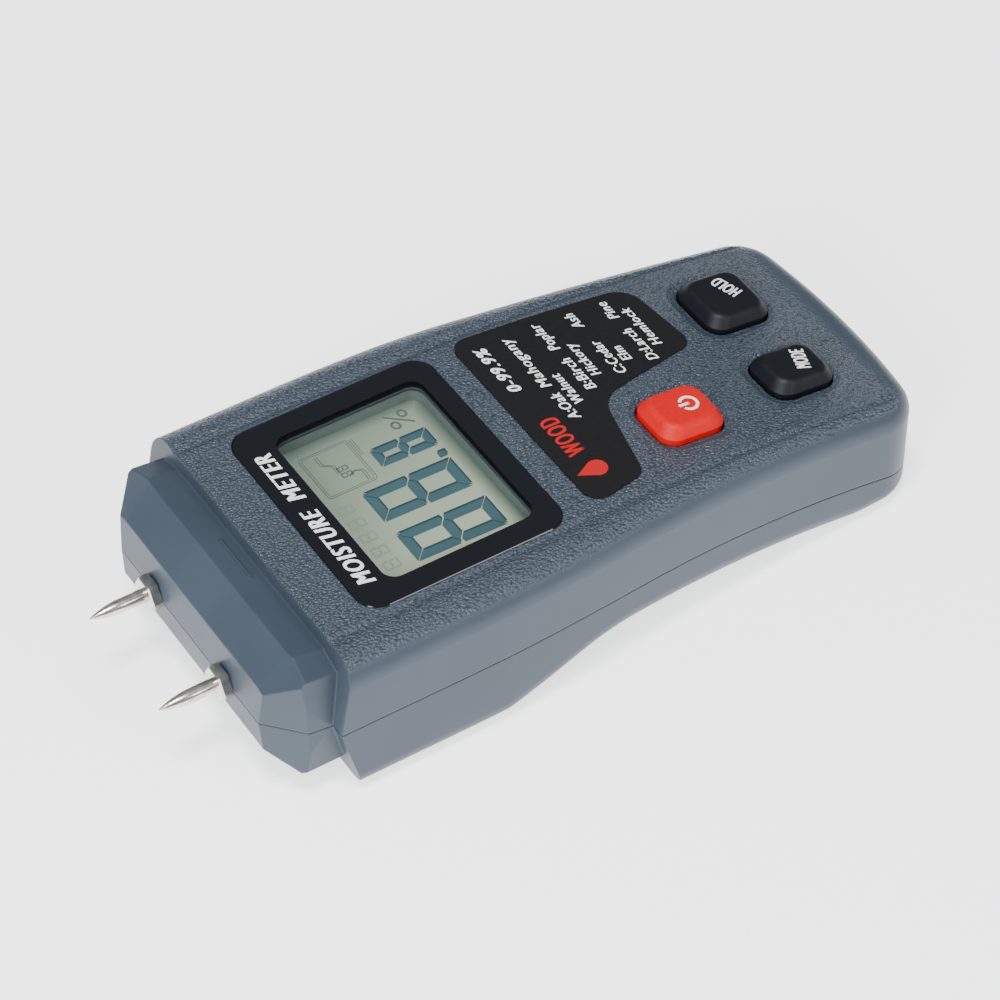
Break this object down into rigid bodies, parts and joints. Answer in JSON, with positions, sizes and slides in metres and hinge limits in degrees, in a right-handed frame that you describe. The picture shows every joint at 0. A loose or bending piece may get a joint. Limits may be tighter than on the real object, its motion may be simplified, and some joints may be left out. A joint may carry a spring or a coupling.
{
  "type": "moisture meter",
  "caption": "Hand-held pin moisture meter for wood in blue-grey plastic, with a display, three rubber keys and two measuring pins at the end",
  "frame": {"origin": "centre of the bounding box's bottom: the flat underside, on the body's centre line", "axes": "+X to the meter's right seen from the display side, +Y along the measuring pins, +Z out of the display"},
  "size_m": [0.0624, 0.1388, 0.0297],
  "materials": {
    "case_plastic": "moulded, lightly grained",
    "window_border": "gloss, clear over the display",
    "label_film": "printed film",
    "red_silicone": "smooth silicone",
    "black_silicone": "smooth silicone",
    "carbon": "matte",
    "gold_pad": "plated",
    "lcd_glass": "polished",
    "reflector": "matte grey-green",
    "zebra": "matte",
    "black_plastic": "moulded",
    "board_green": "solder mask",
    "ribbon_film": "film",
    "chip_black": "moulded",
    "crystal_steel": "drawn can",
    "capacitor_sleeve": "shrink sleeve",
    "trimmer_blue": "moulded",
    "ceramic_tan": "fired",
    "pin_nickel": "nickel plated",
    "socket_brass": "turned",
    "wire_white": "insulation",
    "battery_jacket": "printed steel jacket",
    "terminal_steel": "pressed",
    "wire_red": "insulation",
    "wire_black": "insulation",
    "foam": "open cell",
    "screw_steel": "zinc plated"
  },
  "bodies": {
    "root": {"front_case": "case_plastic", "rear_case": "case_plastic", "display_window": "window_border", "species_label": "label_film", "key_contact_pads": "gold_pad", "lcd_front_glass": "lcd_glass", "lcd_rear_glass": "lcd_glass", "lcd_reflector": "reflector", "zebra_strip": "zebra", "lcd_frame": "black_plastic", "main_board": "board_green", "key_board": "board_green", "board_ribbon": "ribbon_film", "controller_chip": "chip_black", "amplifier_chip": "chip_black", "crystal": "crystal_steel", "filter_capacitor": "capacitor_sleeve", "trimmer": "trimmer_blue", "chip_resistors": "chip_black", "chip_capacitors": "ceramic_tan", "measuring_pin_left": "pin_nickel", "measuring_pin_right": "pin_nickel", "pin_socket_left": "socket_brass", "pin_socket_right": "socket_brass", "electrode_lead_left": "wire_white", "electrode_lead_right": "wire_white", "battery": "battery_jacket", "battery_terminals": "terminal_steel", "battery_clip": "black_plastic", "clip_contacts": "terminal_steel", "battery_lead_red": "wire_red", "battery_lead_black": "wire_black", "battery_foam": "foam", "case_screws": "screw_steel", "board_screws": "screw_steel"},
    "battery_cover": {"battery_cover": "case_plastic"},
    "power_key": {"power_key": "red_silicone", "power_key_contact": "carbon"},
    "mode_key": {"mode_key": "black_silicone", "mode_key_contact": "carbon"},
    "hold_key": {"hold_key": "black_silicone", "hold_key_contact": "carbon"}
  },
  "joints": [
    {"name": "power_press", "type": "slide", "parent": "root", "child": "power_key", "axis": [0, 0.1217, -0.9926], "range_m": [0, 0.0008], "stiffness_N_per_m": 600, "springref_m": -0.0005},
    {"name": "mode_press", "type": "slide", "parent": "root", "child": "mode_key", "axis": [0, 0.1217, -0.9926], "range_m": [0, 0.0008], "stiffness_N_per_m": 600, "springref_m": -0.0005},
    {"name": "hold_press", "type": "slide", "parent": "root", "child": "hold_key", "axis": [0, 0.1217, -0.9926], "range_m": [0, 0.0008], "stiffness_N_per_m": 600, "springref_m": -0.0005},
    {"name": "battery_cover_slide", "type": "slide", "parent": "root", "child": "battery_cover", "axis": [0, -1, 0], "range_m": [0, 0.03]}
  ]
}
